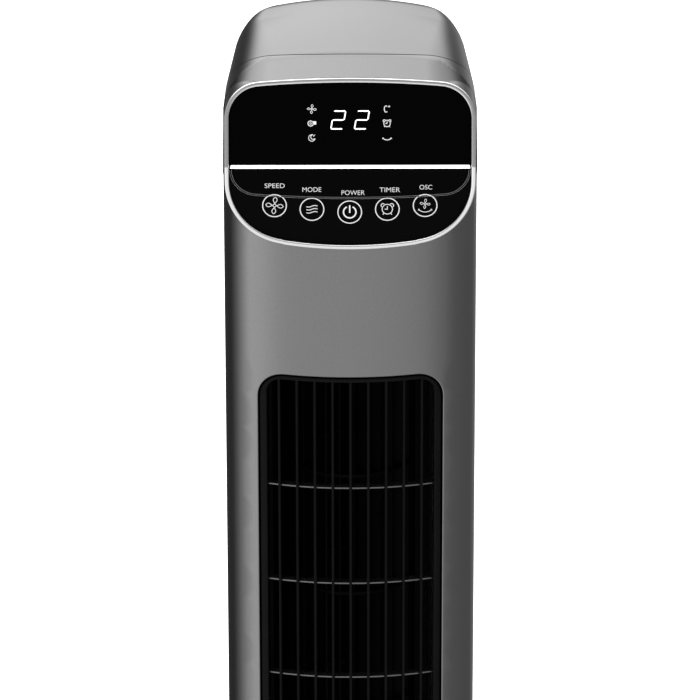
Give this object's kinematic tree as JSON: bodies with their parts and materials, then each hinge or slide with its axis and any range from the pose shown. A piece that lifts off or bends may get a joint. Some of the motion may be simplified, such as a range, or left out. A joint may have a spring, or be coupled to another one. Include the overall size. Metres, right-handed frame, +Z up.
{
  "type": "tower fan",
  "caption": "Slim oscillating tower fan with a slatted front outlet, a leaning touch control panel and a round turntable base.",
  "frame": {"origin": "centre of the round base, on the floor under the feet", "axes": "+Z up along the column, air leaves and the panel faces towards -Y, +X to the right seen from the front"},
  "size_m": [0.3, 0.3, 1.0449],
  "materials": {
    "shell_paint": "satin metallic graphite",
    "cap_paint": "satin metallic silver",
    "base_paint": "satin metallic graphite",
    "grille_black": "satin moulded",
    "rear_plastic": "fine grained",
    "panel_black": "high gloss",
    "lens_black": "high gloss tinted",
    "bezel_chrome": "polished",
    "strip_white": "gloss",
    "inner_plastic": "moulded",
    "impeller_plastic": "moulded",
    "steel": "zinc plated",
    "iron": "rough cast",
    "rubber": "matte",
    "acetal": "smooth",
    "circuit_board": "solder mask",
    "bronze": "sintered",
    "copper_winding": "enamelled wire",
    "component_black": "moulded"
  },
  "bodies": {
    "base": {"base_shell": "base_paint", "base_plate": "steel", "ballast_ring": "iron", "rubber_feet": "rubber", "base_screws": "steel", "cord_gland": "rubber", "thrust_washer": "acetal", "osc_motor": "steel", "osc_motor_strap": "steel"},
    "tower": {"turntable_hub": "inner_plastic", "retaining_ring": "steel", "sector_gear": "acetal", "turntable_screws": "steel", "bottom_cover": "inner_plastic", "front_shell": "shell_paint", "rear_shell": "shell_paint", "top_cap": "cap_paint", "shell_screws": "steel", "rear_grille": "rear_plastic", "inlet_filter": "inner_plastic", "front_grille": "grille_black", "panel_bezel": "bezel_chrome", "touch_panel": "panel_black", "display_lens": "lens_black", "knee_strip": "strip_white", "control_pcb": "circuit_board", "touch_springs": "steel", "display_pcb": "circuit_board", "led_display": "component_black", "ir_receiver": "component_black", "power_pcb": "circuit_board", "run_capacitor": "component_black", "duct_bottom_plate": "inner_plastic", "duct_top_plate": "inner_plastic", "scroll_wall": "inner_plastic", "tongue_wall": "inner_plastic", "motor_lower_bell": "steel", "motor_upper_bell": "steel", "motor_stator": "copper_winding", "motor_bracket": "steel", "top_bearing": "bronze", "bearing_mount": "rubber"},
    "impeller": {"impeller": "impeller_plastic", "drive_coupling": "rubber", "impeller_axle": "steel", "motor_shaft": "steel", "motor_rotor": "steel"},
    "osc_pinion": {"osc_motor_shaft": "steel", "osc_pinion": "acetal"}
  },
  "joints": [
    {"name": "oscillation", "type": "hinge", "parent": "base", "child": "tower", "pos_m": [0, 0, 0], "axis": [0, 0, 1], "range_deg": [-35, 35]},
    {"name": "impeller_spin", "type": "hinge", "parent": "tower", "child": "impeller", "pos_m": [0, 0.024, 0.5], "axis": [0, 0, 1], "continuous": true},
    {"name": "pinion_spin", "type": "hinge", "parent": "base", "child": "osc_pinion", "pos_m": [0, 0.0525, 0], "axis": [0, 0, 1], "range_deg": [-212, 212]}
  ],
  "couplings": [
    {"joint": "pinion_spin", "follows": "oscillation", "ratio": -6}
  ]
}
